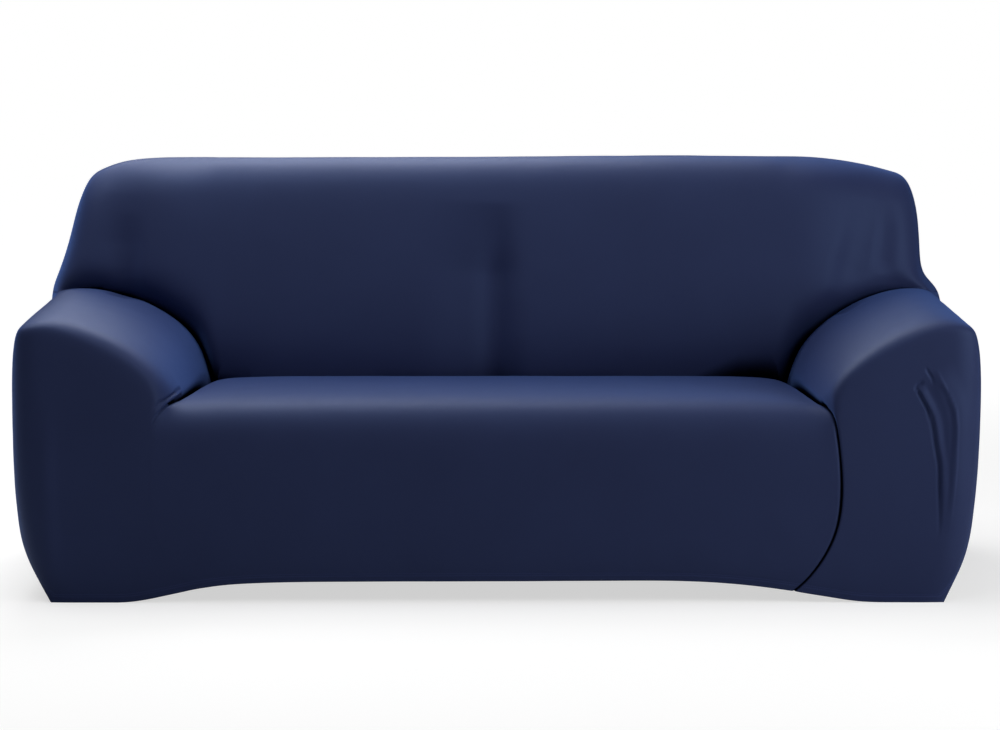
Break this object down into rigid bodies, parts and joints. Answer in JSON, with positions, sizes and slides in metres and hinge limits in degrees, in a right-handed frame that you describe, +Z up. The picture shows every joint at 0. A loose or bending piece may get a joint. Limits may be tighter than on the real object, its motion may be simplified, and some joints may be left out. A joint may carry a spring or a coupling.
{
  "type": "sofa slipcover",
  "caption": "Stretch slipcover drawn over a sofa: hollow fitted cloth shell with cloth tucked in beside the arms and back, a loose pleat on one arm and a drawn-in hem",
  "frame": {"origin": "on the floor, under the centre of the cover's bounding box", "axes": "+X to the right of a viewer who faces the front, +Y from the front to the back, +Z up"},
  "size_m": [2.0362, 0.888, 0.9],
  "materials": {
    "jersey": "matt brushed stretch jersey in dark navy"
  },
  "bodies": {
    "root": {"seat_panel": "jersey", "inside_back_panel": "jersey", "left_arm_panel": "jersey", "right_arm_panel": "jersey", "outside_back_panel": "jersey"}
  },
  "joints": []
}
